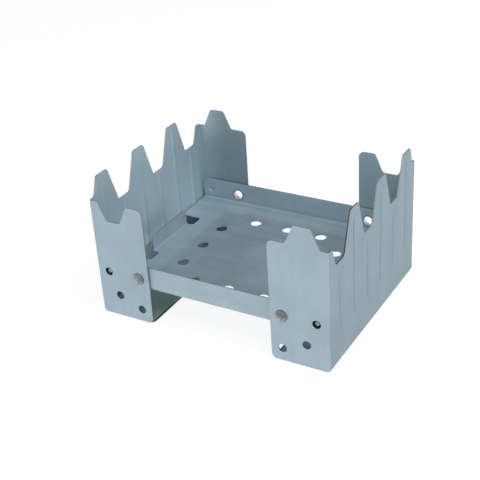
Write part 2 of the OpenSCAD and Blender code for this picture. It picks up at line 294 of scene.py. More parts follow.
def inner_painted_light(tree):
    """Painted light on the inner faces. The broad wall is lighter above the tray, most of all low down, and
    half as light in its middle under the tray. A flap gets painted shade that grows away from the wall,
    the left panel's more than the right's, and the foot is a little less light than the wall."""
    along_depth, height = off_middle(tree, "Y"), coordinate(tree, "Z")
    above_tray = rising(tree, height, 12 * mm, 14 * mm)
    mid_wall = falling(tree, along_depth, 8 * mm, 20 * mm)
    near_wall = rising(tree, off_middle(tree, "X"), wall_x - 15 * mm, wall_x)
    between_flaps = falling(tree, along_depth, half_depth - 3 * mm, half_depth - 1 * mm)
    low_on_wall = product(tree, falling(tree, height, 12 * mm, 50 * mm), between_flaps)
    wall_light = product(tree, near_wall, largest(tree, above_tray, product(tree, mid_wall, 0.5)),
                         weighted(tree, (low_on_wall, 0.6), base=0.5))
    right_panel_light = product(tree, rising(tree, coordinate(tree, "X"), 0.0, 20 * mm), 0.3)
    return largest(tree, wall_light, right_panel_light, product(tree, on_foot(tree), 0.7))


def foot_tint_and_light(tree):
    """A pale olive tint on the foot plates, which also lightens them in their shade under the tray: a tint
    and painted light.
    """
    return product(tree, on_foot(tree), 0.5)


def foot_edge_painted_shadow(tree):
    """A painted shadow: a black line along the ends of a foot plate's free edge."""
    at_edge = falling(tree, off_middle(tree, "X"), edge_x + 0.7 * mm, edge_x + 1.3 * mm)
    at_ends = rising(tree, off_middle(tree, "Y"), 21 * mm, 25 * mm)
    return product(tree, on_foot(tree), at_edge, at_ends, 0.9)


def untarnished_unshaded(tree):
    """Bright steel, but for the edges near the ground and the front of the right panel's toothed edge,
    which are dark brown: painted shade, in a tarnished brown."""
    in_front = falling(tree, coordinate(tree, "Y"), -15 * mm, -13 * mm)
    right_wall = rising(tree, coordinate(tree, "X"), wall_x - 1.5 * mm, wall_x - 1.0 * mm)
    off_ground = rising(tree, coordinate(tree, "Z"), 10 * mm, 16 * mm)
    return product(tree, off_ground, inverse(tree, product(tree, in_front, right_wall)))


# %% Painted light and shade on the tray and the rivets
def tray_painted_light(tree):
    """Painted light on the rails, the tabs and the margins, and most of all on the rear rail. The recess has
    painted shade, but less in its middle, which has a painted reflection, and the floor's ends have a very
    little painted shade."""
    aside, along_depth, height = off_middle(tree, "X"), off_middle(tree, "Y"), coordinate(tree, "Z")
    recess = product(tree, falling(tree, aside, recess_x - 2.0 * mm, recess_x),
                     falling(tree, along_depth, recess_y - 2.5 * mm, recess_y + 0.5 * mm))
    middle = product(tree, falling(tree, aside, 2 * mm, 20 * mm),
                     falling(tree, along_depth, 2 * mm, 16 * mm))
    rear_rail = product(tree, rising(tree, coordinate(tree, "Y"), half_depth - 3 * mm, half_depth - 2 * mm),
                        rising(tree, height, 16 * mm, 18 * mm))
    end_floor = product(tree, rising(tree, aside, recess_x - 3.0 * mm, recess_x + 0.5 * mm),
                        falling(tree, height, 15 * mm, 17 * mm))
    return weighted(tree, (rear_rail, 0.8), (middle, 0.6), (end_floor, -0.2), (recess, -1.15), base=1.0)


def bump_painted_shadow(tree):
    """A ring of painted shadow round each detent bump, on the rail's outer face."""
    away = from_axis(tree, bump_x)
    off_bump, near_bump = rising(tree, away, 0.75 * mm, 0.95 * mm), falling(tree, away, 1.9 * mm, 2.1 * mm)
    outer_face = rising(tree, off_middle(tree, "Y"), half_depth - 1.3 * mm, half_depth - 1.0 * mm)
    return product(tree, off_bump, near_bump, outer_face)


def inside_bore(tree):
    """A painted reflection inside a rivet's bore, and painted shade on its lips."""
    return falling(tree, from_axis(tree, hinge_x), 2.0 * mm, 2.15 * mm)


# %% [markdown]
# A finish puts groups and masks together. The colour runs between a lighter and a darker metal, the
# roughness between satin and dull, and a Bump node turns waves and streaks into small tilts of the
# surface. Each piece could have its own painted image instead. Five finishes from the same few groups
# are quicker to change, and their marks keep their real size on every piece.

# %% Finishes
def placed_group(tree, name, **values):
    """A node group in a material, fed with Object coordinates. It gives back its mask."""
    node = tree.nodes.new("ShaderNodeGroup")
    node.node_tree = groups[name]
    tree.links.new(tree.nodes["Texture Coordinate"].outputs["Object"], node.inputs["Vector"])
    for label, value in values.items():
        node.inputs[label.replace("_", " ")].default_value = value
    return node.outputs["Mask"]


def blend_colours(tree, mask, low, high):
    """A colour that runs from low to high with the mask. Low may be the output of a node."""
    node = tree.nodes.new("ShaderNodeMix")
    node.data_type = "RGBA"
    if isinstance(low, tuple):
        node.inputs["A"].default_value = (*low, 1)
    else:
        tree.links.new(low, node.inputs["A"])
    node.inputs["B"].default_value = (*high, 1)
    tree.links.new(mask, node.inputs["Factor"])
    return node.outputs["Result"]


def blend_values(tree, mask, low, high):
    """A number that runs from low to high with the mask."""
    node = tree.nodes.new("ShaderNodeMapRange")
    node.inputs["To Min"].default_value = low
    node.inputs["To Max"].default_value = high
    tree.links.new(mask, node.inputs["Value"])
    return node.outputs["Result"]


def metal_finish(name, dark, light, rolled, satin, dull, metallic, wave_height, streak_height,
                 painted_light, share, stains_and_shadows=()):
    """A zinc or steel finish from the groups. Its colour runs from dark to light with the streaks and
    blotches, and by a share of that range with a mask of painted light and shade. Stains and painted
    shadows are pairs of a mask and a colour, laid on top in turn."""
    material = bpy.data.materials.new(name)
    material.use_nodes = True
    tree = material.node_tree
    shader = tree.nodes["Principled BSDF"]
    tree.nodes.new("ShaderNodeTexCoord")
    x, y, z = rolled
    streaks = placed_group(tree, "rolling_streaks", Stretch_X=x, Stretch_Y=y, Stretch_Z=z)
    blotches = placed_group(tree, "coating_blotches")
    marks = placed_group(tree, "handling_marks")
    waves = placed_group(tree, "sheet_waves")
    tone = weighted(tree, (streaks, 0.45 * (1 - share)), (blotches, 0.55 * (1 - share)), (painted_light(tree), share))
    colour = blend_colours(tree, tone, dark, light)
    for overlay_mask, overlay_colour in stains_and_shadows:
        colour = blend_colours(tree, overlay_mask(tree), colour, overlay_colour)
    tree.links.new(colour, shader.inputs["Base Color"])
    worn = weighted(tree, (streaks, 0.35), (blotches, 0.25), (marks, 0.6))
    tree.links.new(blend_values(tree, worn, satin, dull), shader.inputs["Roughness"])
    shader.inputs["Metallic"].default_value = metallic
    bump = tree.nodes.new("ShaderNodeBump")
    bump.inputs["Distance"].default_value = mm
    bump.inputs["Strength"].default_value = 1.0
    tree.links.new(weighted(tree, (waves, wave_height), (streaks, streak_height)), bump.inputs["Height"])
    tree.links.new(bump.outputs["Normal"], shader.inputs["Normal"])
    return material


upright, lengthwise = (1.0, 1.0, 0.03), (0.03, 1.0, 1.0)
# The near-black colour paints shadow, and the pale olive tints the foot plates and lightens their shade.
shadow_black, pale_olive = (0.015, 0.02, 0.025), (0.66, 0.72, 0.55)
zinc = {"satin": 0.42, "dull": 0.6, "metallic": 0.4, "wave_height": 0.3, "streak_height": 0.004}
# The outer faces' finish: darker, with painted shade on the broad wall.
panel_zinc = metal_finish(
    "panel_zinc", dark=(0.235, 0.318, 0.370), light=(0.410, 0.535, 0.618), rolled=upright, **zinc,
    painted_light=outer_painted_light, share=0.6)
# The inner faces' finish: a lighter copy of the zinc, with painted light.
inner_zinc_painted_light = metal_finish(
    "inner_zinc_painted_light", dark=(0.25, 0.34, 0.39), light=(0.54, 0.69, 0.76), rolled=upright, **zinc,
    painted_light=inner_painted_light, share=0.85, stains_and_shadows=((foot_tint_and_light, pale_olive), (foot_edge_painted_shadow, shadow_black)))
tray_zinc = metal_finish(
    "tray_zinc", dark=(0.273, 0.369, 0.437), light=(0.434, 0.555, 0.620), rolled=lengthwise, **zinc,
    painted_light=tray_painted_light, share=0.333, stains_and_shadows=((bump_painted_shadow, shadow_black),))
cut_steel = metal_finish(
    "cut_steel", dark=(0.07, 0.06, 0.05), light=(0.41, 0.43, 0.41), rolled=upright, satin=0.40, dull=0.60,
    metallic=0.8, wave_height=0.0, streak_height=0.01, painted_light=untarnished_unshaded, share=0.8)
rivet_nickel = metal_finish(
    "rivet_nickel", dark=(0.11, 0.11, 0.10), light=(0.74, 0.73, 0.73), rolled=upright, satin=0.3, dull=0.5,
    metallic=0.6, wave_height=0.0, streak_height=0.004, painted_light=inside_bore, share=0.9)
finishes = (panel_zinc, inner_zinc_painted_light, tray_zinc, cut_steel, rivet_nickel)
print("finishes", {finish.name: len(finish.node_tree.nodes) for finish in finishes})

# %% [markdown]
# A side panel is a shallow pressed box: broad wall, two flaps and a foot plate, open at the top and
# on its inner side. It could be drawn as a flat sheet and folded, but its corners are drawn metal
# with no seam. So it starts as a cube and loses two faces. One bevel rounds the wide bend between
# wall and foot, and a second follows the flaps' whole outline, corners and all. Solidify then grows
# the sheet's thickness inwards, and its rim is bare steel.

# %% Side panel: the pressed box
flap_bend, foot_bend = 0.8 * mm, 1.8 * mm
bend_steps = 6


def as_object(name, bm, *materials):
    """Turns a bmesh into an object in the scene."""
    mesh = bpy.data.meshes.new(name)
    bmesh.ops.recalc_face_normals(bm, faces=bm.faces[:])
    bm.to_mesh(mesh)
    bm.free()
    for material in materials:
        mesh.materials.append(material)
    piece = bpy.data.objects.new(name, mesh)
    bpy.context.scene.collection.objects.link(piece)
    return piece


def settle(piece):
    """Applies a piece's modifiers."""
    graph = bpy.context.evaluated_depsgraph_get()
    finished = bpy.data.meshes.new_from_object(piece.evaluated_get(graph))
    piece.modifiers.clear()
    blank = piece.data
    piece.data = finished
    bpy.data.meshes.remove(blank)


def box_blank(low, high):
    """A bmesh cube that fills the box between two corners."""
    bm = bmesh.new()
    bmesh.ops.create_cube(bm, size=1)
    bmesh.ops.scale(bm, verts=bm.verts[:], vec=high - low)
    bmesh.ops.translate(bm, verts=bm.verts[:], vec=(low + high) / 2)
    return bm


def pressed_box(name):
    """The right panel before it is trimmed: open above and inside, with rounded bends."""
    facing = 0.9
    bm = box_blank(Vector((edge_x - reach, -half_depth, 0)), Vector((wall_x, half_depth, tooth_z + reach)))
    opened = [f for f in bm.faces if f.normal.z > facing or f.normal.x < -facing]
    bmesh.ops.delete(bm, geom=opened, context="FACES")
    for radius, at_flap in ((foot_bend, False), (flap_bend, True)):
        folds = [e for e in bm.edges if len(e.link_faces) == 2
                 and at_flap == any(abs(f.normal.y) > facing for f in e.link_faces)]
        bmesh.ops.bevel(bm, geom=folds, offset=radius, offset_type="OFFSET", segments=bend_steps,
                        profile=0.5, affect="EDGES", material=-1)
        bm.normal_update()
    piece = as_object(name, bm, panel_zinc, inner_zinc_painted_light, cut_steel)
    wall = piece.modifiers.new("sheet", "SOLIDIFY")
    wall.thickness, wall.offset, wall.use_even_offset = sheet, -1, True
    # The inner faces take the lighter inner finish with its painted light, and the rim bare steel.
    wall.material_offset, wall.material_offset_rim = 1, 2
    settle(piece)
    return piece


# %% [markdown]
# Six upright ribs stiffen the broad wall. They could be separate rods, but on the real sheet they
# are pressed in, with soft edges and a rounded lower end, and they run out flat below the toothed
# edge. So `score` slices the wall with closely spaced planes round each rib, which gives it points to
# move. The points of both faces then sink inwards together along a cosine hollow that grows shallower
# near the edge. `reshape` opens a finished mesh as a bmesh and writes it back.

# %% Side panel: the pressed ribs
AXES = {"X": Vector((1, 0, 0)), "Y": Vector((0, 1, 0)), "Z": Vector((0, 0, 1))}
rib_depth, rib_half_width = 0.4 * mm, 1.8 * mm
rib_low = 12.5 * mm
rib_fade = 8.0 * mm
rib_steps = 8
place_digits, on_plane = 7, 0.0001 * mm


def score(bm, axis, places):
    """Slices the mesh with a plane at each place along an axis, and only once where places coincide."""
    for place in sorted(set(round(p, place_digits) for p in places)):
        bmesh.ops.bisect_plane(bm, geom=bm.verts[:] + bm.edges[:] + bm.faces[:], dist=on_plane,
                               plane_co=AXES[axis] * place, plane_no=AXES[axis])


def both_sides(places):
    """The places and their mirror images."""
    return [side * p for side in (-1, 1) for p in places]


def reshape(piece, shape):
    """Opens a piece's mesh as a bmesh, changes it with shape, and writes it back."""
    bm = bmesh.new()
    bm.from_mesh(piece.data)
    shape(bm)
    bmesh.ops.recalc_face_normals(bm, faces=bm.faces[:])
    bm.to_mesh(piece.data)
    bm.free()


def smooth(share):
    """0 below 0, 1 above 1, and a soft slope between."""
    share = max(0.0, min(1.0, share))
    return share * share * (3 - 2 * share)


def edge_level(i):
    """The height of the toothed edge at one of its places, counted from the front."""
    return notch_z if i % 2 == 0 else tooth_z


def press_ribs(bm):
    """Scores the wall round the ribs and presses them in."""
    spans = [k / rib_steps for k in range(-rib_steps, rib_steps + 1)]
    score(bm, "Y", [y + rib_half_width * k for y in edge_places for k in spans])
    ball_z = rib_low + rib_half_width
    score(bm, "Z", [ball_z + rib_half_width * k for k in spans if k <= 0])
    for edge_z in (notch_z, tooth_z):
        score(bm, "Z", [edge_z - rib_fade * k / rib_steps for k in range(rib_steps + 1)])
    beside_bends = 0.15 * mm
    score(bm, "Y", both_sides([half_depth - flap_bend - beside_bends]))
    score(bm, "X", [wall_x - foot_bend - beside_bends])
    score(bm, "Z", [foot_bend + beside_bends])
    for v in bm.verts:
        if v.co.x < wall_x - flap_bend:
            continue
        nearest = min(range(len(edge_places)), key=lambda i: abs(v.co.y - edge_places[i]))
        distance = math.hypot(v.co.y - edge_places[nearest], max(0, ball_z - v.co.z))
        if distance < rib_half_width:
            hollow = (1 + math.cos(math.pi * distance / rib_half_width)) / 2
            v.co.x -= rib_depth * hollow * smooth((edge_level(nearest) - v.co.z) / rib_fade)


# %% [markdown]
# The toothed edge, the flaps' outlines and the holes are punched. `prism` draws an outline, rounds
# its corners with a vertex bevel and extrudes it: that is the punch. `carve` subtracts punches from a
# piece with exact booleans. Knife cuts could do it too, but with a boolean the cut faces take the
# punch's own material, so every cut edge shows bare steel. A punch reaches past the sheet on both
# sides, because faces that lie in one plane trouble a boolean.

# %% Punches
corner_steps, drill_steps = 7, 40


def setback(radius, run, rise):
    """How far from a corner an arc of that radius starts, where a level line turns to run and rise."""
    return radius * math.tan(math.atan2(rise, run) / 2)


def along(axis, a, b, c):
    """A point c along an axis, at a and b across it."""
    return Vector({"X": (c, a, b), "Y": (a, c, b), "Z": (a, b, c)}[axis])


def prism(corners, axis, low, high):
    """A punch: corners are (a, b, setback of the rounding) across the axis."""
    bm = bmesh.new()
    points = [bm.verts.new(along(axis, a, b, low)) for a, b, _ in corners]
    bm.faces.new(points)
    for point, (_, _, back) in zip(points, corners):
        if back:
            bmesh.ops.bevel(bm, geom=[point], offset=back, offset_type="OFFSET", segments=corner_steps,
                            profile=0.5, affect="VERTICES", material=-1)
    lifted = bmesh.ops.extrude_face_region(bm, geom=bm.faces[:])["geom"]
    bmesh.ops.translate(bm, verts=[g for g in lifted if isinstance(g, bmesh.types.BMVert)],
                        vec=AXES[axis] * (high - low))
    return as_object("punch", bm, cut_steel)


def drill(centre, axis, radius, length, steps=drill_steps):
    """A round punch, centred on a point."""
    bm = bmesh.new()
    bmesh.ops.create_cone(bm, cap_ends=True, segments=steps, radius1=radius, radius2=radius, depth=length)
    turn = AXES["Z"].rotation_difference(AXES[axis]).to_matrix().to_4x4()
    bm.transform(Matrix.Translation(centre) @ turn)
    return as_object("punch", bm, cut_steel)


def carve(piece, punches):
    """Subtracts the punches from a piece."""
    for punch in punches:
        cut = piece.modifiers.new("cut", "BOOLEAN")
        cut.operation, cut.solver, cut.object = "DIFFERENCE", "EXACT", punch
        cut.material_mode = "TRANSFER"
    settle(piece)
    for punch in punches:
        bpy.data.meshes.remove(punch.data)


# %% [markdown]
# Each outline of a side panel is drawn from the levels of teeth and notches, so the edge of one panel
# fits the other's when the case is closed. The right panel's front flap ends in a tooth, and its rear
# flap in a valley. Both panels are the same stamping, so the left one is made in the same way and
# then turned half a turn about the stove's middle.

# %% Side panel: outlines and holes
tooth_top, tooth_round = 6.9 * mm, 1.3 * mm
foot_inset, plate_corner = 0.4 * mm, 2.0 * mm
shoulder_corner, flap_foot_corner = 2.2 * mm, 3.0 * mm
sliver = 0.02 * mm
flap_tooth_inset = 9.8 * mm
flap_tooth_x = wall_x - flap_tooth_inset
flap_tooth_top, flap_tooth_foot = 6.2 * mm, 12.8 * mm
running_clearance = 0.05 * mm
rivet_lip = 0.25 * mm
lip_radius = (rivet_high.x - rivet_low.x) / 2
shank_radius = lip_radius - rivet_lip
detent_hole = 3.3 * mm
detent_angles = (0, 45, 90)


def wall_outline():
    """The punch that leaves the broad wall's teeth and notches."""
    back = setback(tooth_round, tooth_pitch - tooth_top, tooth_height)
    far, top = half_depth + reach, tooth_z + 2 * reach
    end = tooth_count * tooth_pitch
    corners = [(-far, mid_z, 0), (-end, mid_z, back)]
    for i, place in enumerate(edge_places):
        corners += [(place + side * tooth_top / 2, edge_level(i), back) for side in (-1, 1)]
    corners += [(end, mid_z, back), (far, mid_z, 0), (far, top, 0), (-far, top, 0)]
    return prism(corners, "X", wall_x - flap_bend - rib_depth, wall_x + reach)


def flap_outline(level, low_y, high_y):
    """The punch that leaves a flap's free edge, its two rounded corners and its tooth or valley."""
    back = setback(tooth_round, (flap_tooth_foot - flap_tooth_top) / 2, tooth_height / 2)
    near, far, top = edge_x - 2 * reach, wall_x + reach, tooth_z + 2 * reach
    past_corner = edge_x + flap_foot_corner + reach
    corners = [
        (near, -reach, 0), (past_corner, -reach, 0), (past_corner, -sliver, 0),
        (edge_x, -sliver, flap_foot_corner), (edge_x, mid_z, shoulder_corner),
        (flap_tooth_x - flap_tooth_foot / 2, mid_z, back), (flap_tooth_x - flap_tooth_top / 2, level, back),
        (flap_tooth_x + flap_tooth_top / 2, level, back), (flap_tooth_x + flap_tooth_foot / 2, mid_z, back),
        (far, mid_z, 0), (far, top, 0), (near, top, 0)]
    return prism(corners, "Y", low_y, high_y)


def foot_trim():
    """The punch that sets back the foot plate's free edge and rounds its two corners."""
    side = half_depth - flap_bend
    low, edge = edge_x - 2 * reach, edge_x + foot_inset
    past_corner = edge + plate_corner + reach
    corners = [(low, -side - sliver, 0), (past_corner, -side - sliver, 0), (past_corner, -side, 0),
               (edge, -side, plate_corner), (edge, side, plate_corner),
               (past_corner, side, 0), (past_corner, side + sliver, 0), (low, side + sliver, 0)]
    return prism(corners, "Z", -reach, flap_bend)


def flap_holes():
    """Round punches through both flaps: the hinge's hole and three detent holes on an arc round it."""
    depth = 2 * (half_depth + reach)
    hinge = Vector((hinge_x, 0, hinge_z))
    punches = [drill(hinge, "Y", shank_radius + running_clearance, depth)]
    for degrees in detent_angles:
        angle = math.radians(degrees)
        aside = Vector((math.cos(angle), 0, -math.sin(angle))) * detent_radius
        punches.append(drill(hinge + aside, "Y", detent_hole / 2, depth))
    return punches


def side_panel(name):
    """The right panel, pressed, trimmed and pierced."""
    piece = pressed_box(name)
    reshape(piece, press_ribs)
    flap = half_depth - flap_bend
    carve(piece, [wall_outline(), flap_outline(tooth_z, -half_depth - reach, -flap),
                  flap_outline(notch_z, flap, half_depth + reach), foot_trim(), *flap_holes()])
    return piece


right_panel = side_panel("right_panel_sheet")
left_panel = side_panel("left_panel_sheet")
left_panel.data.transform(Matrix.Rotation(math.pi, 4, "Z"))
print("panel faces", len(right_panel.data.polygons))

# %% [markdown]
# The tray is made the way the factory makes it. A flat blank is scored where it will bend, then
# pierced: vents, rivet holes and the slots that free each end's tab. The recess for the fuel, the
# long steps beside the rails and the detent bumps are pressed by moving points. Last, the rails and
# tabs are folded. Folding is a formula: a point past the fold line goes round an arc and then
# straight on, and its distance from the middle of the sheet is kept, so the thickness stays even.

# %% Tray: sizes
tray_end, rail_top = tray_high.x, tray_high.z
rail_gap, rail_height, rail_corner = 0.4 * mm, 9.6 * mm, 4.0 * mm
tab_inset, tab_height, tab_corner = 6.9 * mm, 6.7 * mm, 3.0 * mm
rail_bend, tab_bend = 1.2 * mm, 1.0 * mm
tab_half, slot_half = 12.5 * mm, 18.8 * mm
slot_depth, slot_corner = 3.0 * mm, 1.5 * mm
step_inset, step_run, step_drop = 7.0 * mm, 2.6 * mm, 0.3 * mm
recess_corner, recess_run, recess_drop = 6.0 * mm, 2.0 * mm, 0.2 * mm
bump_height, bump_half_width, bump_slope = 0.5 * mm, 1.1 * mm, 0.6
dot_radius, dot_depth = 0.32 * mm, 0.25 * mm

rail_y = half_depth - sheet - rail_gap
tray_under = rail_top - rail_height
tab_x = wall_x - sheet - tab_inset
tab_top = tray_under + tab_height
rail_fold = rail_y - rail_bend
tab_fold = tab_x + sheet - tab_bend
slot_x = tab_x - slot_depth
step_foot = rail_y - sheet - step_inset
step_head = step_foot + step_run


def arc_length(bend):
    """How much flat sheet a right-angled bend takes, along the middle of the sheet."""
    return (bend - sheet / 2) * math.pi / 2


rail_edge = rail_fold + arc_length(rail_bend) + rail_top - tray_under - rail_bend
tab_edge = tab_fold + arc_length(tab_bend) + tab_top - (tray_under - step_drop) - tab_bend
hinge_line = rail_fold + arc_length(rail_bend) + hinge_z - tray_under - rail_bend
print("blank is", round(2 * rail_edge / mm, 1), "mm wide before folding")


# %% Tray: blank and punches
vent, vent_pitch, end_vents, rail_vents = 4.6 * mm, 14.8 * mm, 25.6 * mm, 24.5 * mm
seat_clearance = 0.02 * mm


def ladder(low, high, steps):
    """Evenly spaced places from low to high."""
    return [low + (high - low) * k / steps for k in range(steps + 1)]


def tray_blank():
    """A flat sheet, scored where it will be pressed or folded."""
    low = Vector((-tab_edge - reach, -rail_edge - reach, tray_under))
    high = Vector((tab_edge + reach, rail_edge + reach, tray_under + sheet))
    bm = box_blank(low, high)
    floor_x, floor_y, beside_fold = 36 * mm, 26 * mm, 0.2 * mm
    bump_rows = ladder(-bump_half_width, bump_half_width, 12)
    score(bm, "X", both_sides(ladder(0, floor_x, 18) + ladder(recess_x - recess_run, recess_x, 5)
                              + ladder(tab_fold, tab_fold + arc_length(tab_bend), 6)
                              + [tab_fold - beside_fold] + [bump_x + row for row in bump_rows]))
    score(bm, "Y", both_sides(ladder(0, floor_y, 13) + ladder(recess_y - recess_run, recess_y, 5)
                              + ladder(step_foot, step_head, 6)
                              + ladder(rail_fold, rail_fold + arc_length(rail_bend), 8)
                              + [rail_fold - beside_fold] + [hinge_line + row for row in bump_rows]))
    return as_object("tray_sheet", bm, tray_zinc, cut_steel)


def end_punch(side):
    """The punch for one end: the slots beside the tab, and the tab's rounded top."""
    far = tab_edge + 2 * reach
    corners = [(slot_x, slot_half, slot_corner), (slot_x, tab_half, slot_corner),
               (tab_edge, tab_half, tab_corner), (tab_edge, -tab_half, tab_corner),
               (slot_x, -tab_half, slot_corner), (slot_x, -slot_half, slot_corner),
               (far, -slot_half, 0), (far, slot_half, 0)]
    return prism([(side * x, y, back) for x, y, back in corners], "Z", 0, 2 * tray_under)


def rail_punch(side):
    """The punch along one rail's edge: it trims the tray's ends and rounds the rail's upper corners."""
    overlap = 0.6 * mm
    near, far_x, far_y = slot_half - overlap, tab_edge + 2 * reach, rail_edge + 2 * reach
    corners = [(-tray_end, near, 0), (-tray_end, rail_edge, rail_corner),
               (tray_end, rail_edge, rail_corner), (tray_end, near, 0),
               (far_x, near, 0), (far_x, far_y, 0), (-far_x, far_y, 0), (-far_x, near, 0)]
    return prism([(x, side * y, back) for x, y, back in corners], "Z", 0, 2 * tray_under)


def tray_holes():
    """Round punches for the twelve vents and the four rivets."""
    tall = 4 * tray_under
    in_row = [i * vent_pitch for i in (-1, 0, 1)]
    places = [(x, y) for x in both_sides([end_vents]) for y in in_row]
    places += [(x, y) for y in both_sides([rail_vents]) for x in in_row]
    punches = [drill(Vector((x, y, 0)), "Z", vent / 2, tall) for x, y in places]
    for x in both_sides([hinge_x]):
        for y in both_sides([hinge_line]):
            punches.append(drill(Vector((x, y, 0)), "Z", shank_radius + seat_clearance, tall))
    return punches


# %% Tray: pressing and folding
def inside_recess(x, y):
    """How far a point lies inside the recess's rounded outline."""
    dx = abs(x) - (recess_x - recess_corner)
    dy = abs(y) - (recess_y - recess_corner)
    return recess_corner - math.hypot(max(dx, 0), max(dy, 0)) - min(max(dx, dy), 0)


def press_tray(bm):
    """Sinks the floor between the long steps, then the recess, and pushes out the detent bumps."""
    for v in bm.verts:
        x, y = v.co.x, v.co.y
        v.co.z -= step_drop * smooth((step_head - abs(y)) / (step_head - step_foot))
        v.co.z -= recess_drop * smooth(inside_recess(x, y) / recess_run)
        from_bump = math.hypot(abs(x) - bump_x, abs(y) - hinge_line) / bump_half_width
        v.co.z -= bump_height * smooth((1 - from_bump) / bump_slope)


def folded(distance, height, fold, bend, middle):
    """Where a point goes that lies at a distance from the tray's middle line, and above the sheet's
    middle by height - middle, once the sheet past the fold line stands up."""
    past = distance - fold
    if past <= 0:
        return distance, height
    angle = min(past / arc_length(bend), 1) * math.pi / 2
    radius = bend - sheet / 2 - (height - middle)
    rise = middle + bend - sheet / 2 - radius * math.cos(angle) + max(past - arc_length(bend), 0)
    return fold + radius * math.sin(angle), rise


def fold_tray(bm):
    """Folds up the rails, then the tabs."""
    rail_middle = tray_under + sheet / 2
    tab_middle = rail_middle - step_drop
    in_slot = 0.1 * mm
    for v in bm.verts:
        x, y, z = v.co
        if abs(y) > rail_fold:
            distance, z = folded(abs(y), z, rail_fold, rail_bend, rail_middle)
            v.co = (x, math.copysign(distance, y), z)
        elif abs(x) > tab_fold and abs(y) < tab_half + in_slot:
            distance, z = folded(abs(x), z, tab_fold, tab_bend, tab_middle)
            v.co = (math.copysign(distance, x), y, z)


def punch_dots():
    """A small dot punched in the middle of each bump."""
    places = [(x, y) for x in both_sides([bump_x]) for y in both_sides([rail_y + bump_height])]
    return [drill(Vector((x, y, hinge_z)), "Y", dot_radius, 2 * dot_depth, steps=12) for x, y in places]


tray_sheet = tray_blank()
carve(tray_sheet, [end_punch(-1), end_punch(1), rail_punch(-1), rail_punch(1), *tray_holes()])
reshape(tray_sheet, press_tray)
reshape(tray_sheet, fold_tray)
carve(tray_sheet, punch_dots())
print("tray faces", len(tray_sheet.data.polygons))

# %% [markdown]
# A hollow rivet is a short tube whose two ends are rolled over the sheets. A plain tube would show
# sharp rims, so the section is drawn once, with a half circle for each rolled lip, and bmesh spins
# it round the hinge's axis. The four rivets are the same section at four places.

# %% Hollow rivets
rivet_wall, lip_thickness = 0.2 * mm, 0.3 * mm
roll_steps, spin_steps = 8, 48
seam_gap = 0.001 * mm
bore_radius = shank_radius - rivet_wall
roll_radius = (lip_radius - bore_radius) / 2
rail_inner = rail_y - sheet


def half_circle(middle, end, way):
    """A rolled lip of a rivet's section. Way is 1 at the section's outer end, and -1 at its inner end."""
    turns = ladder(0, math.pi, roll_steps)
    return [(middle - way * roll_radius * math.cos(a), end - way * roll_radius * (1 - math.sin(a)))
            for a in turns]


def rivet_section():
    """Points (radius, distance out from the middle of the stove) round a rivet's section."""
    inner, outer = -rivet_high.y, -rivet_low.y
    middle = bore_radius + roll_radius
    return [*half_circle(middle, outer, 1), (lip_radius, outer - lip_thickness),
            (shank_radius, outer - lip_thickness), (shank_radius, rail_inner), (lip_radius, rail_inner),
            *half_circle(middle, inner, -1)]


def hollow_rivet(name, x, side):
    """A rivet on the front rail where side is -1, and on the rear rail where it is 1."""
    bm = bmesh.new()
    ring = [bm.verts.new((x + radius, side * out, hinge_z)) for radius, out in rivet_section()]
    for a, b in zip(ring, ring[1:] + ring[:1]):
        bm.edges.new((a, b))
    bmesh.ops.spin(bm, geom=bm.verts[:] + bm.edges[:], cent=(x, 0, hinge_z), axis=(0, 1, 0),
                   angle=2 * math.pi, steps=spin_steps, use_merge=True)
    bmesh.ops.remove_doubles(bm, verts=bm.verts[:], dist=seam_gap)
    return as_object(name, bm, rivet_nickel)


rivets = {}
for end, side in (("front", -1), ("rear", 1)):
    for hand, x in (("left", -hinge_x), ("right", hinge_x)):
        rivets[f"rivet_{end}_{hand}"] = hollow_rivet(f"hollow_rivet_{end}_{hand}", x, side)
print("rivets", sorted(rivets))

# %% [markdown]
# Sheet metal has no perfectly sharp edge: even a fresh cut has a tiny round that catches light. A
# Bevel modifier adds it, only where the angle is steep, so the soft bends and ribs stay as they are.
# Smooth shading is stopped at steep angles, and Weighted Normal keeps the flat walls looking flat.

# %% Edges and shading
edge_round = 0.05 * mm
same_point = 0.004 * mm
steep_cut, steep_sheet, steep_rivet = math.radians(50), math.radians(35), math.radians(50)


def finish_edges(piece):
    """Rounds the cut edges a little and sets the shading."""
    reshape(piece, lambda bm: bmesh.ops.remove_doubles(bm, verts=bm.verts[:], dist=same_point))
    bevel = piece.modifiers.new("edge_round", "BEVEL")
    bevel.width, bevel.segments = edge_round, 2
    bevel.limit_method, bevel.angle_limit = "ANGLE", steep_cut
    bevel.use_clamp_overlap = False
    settle(piece)
    piece.data.shade_smooth()
    piece.data.set_sharp_from_angle(angle=steep_sheet)
    weight = piece.modifiers.new("flat_walls", "WEIGHTED_NORMAL")
    weight.keep_sharp = True
    settle(piece)


for piece in (left_panel, right_panel, tray_sheet):
    finish_edges(piece)
    print(piece.name, "has", len(piece.data.polygons), "faces with its edges rounded")
for rivet in rivets.values():
    rivet.data.shade_smooth()
    rivet.data.set_sharp_from_angle(angle=steep_rivet)

# %% [markdown]
# Every piece rides on an empty named for the CAD body that it belongs to, and it stands for the CAD
# node of the same shape, which is hidden.

# %% Bodies
def seat(piece, body, node):
    """Puts a piece on its body, hides the CAD node that it stands for, and names both."""
    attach(piece, body)
    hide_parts(node)
    print(piece.name, "rides on", body, "and stands for", node)


seat(left_panel, "left_panel", "left_side_panel")
seat(right_panel, "right_panel", "right_side_panel")
seat(tray_sheet, "tray", "tray")
for node, rivet in rivets.items():
    seat(rivet, "tray", node)

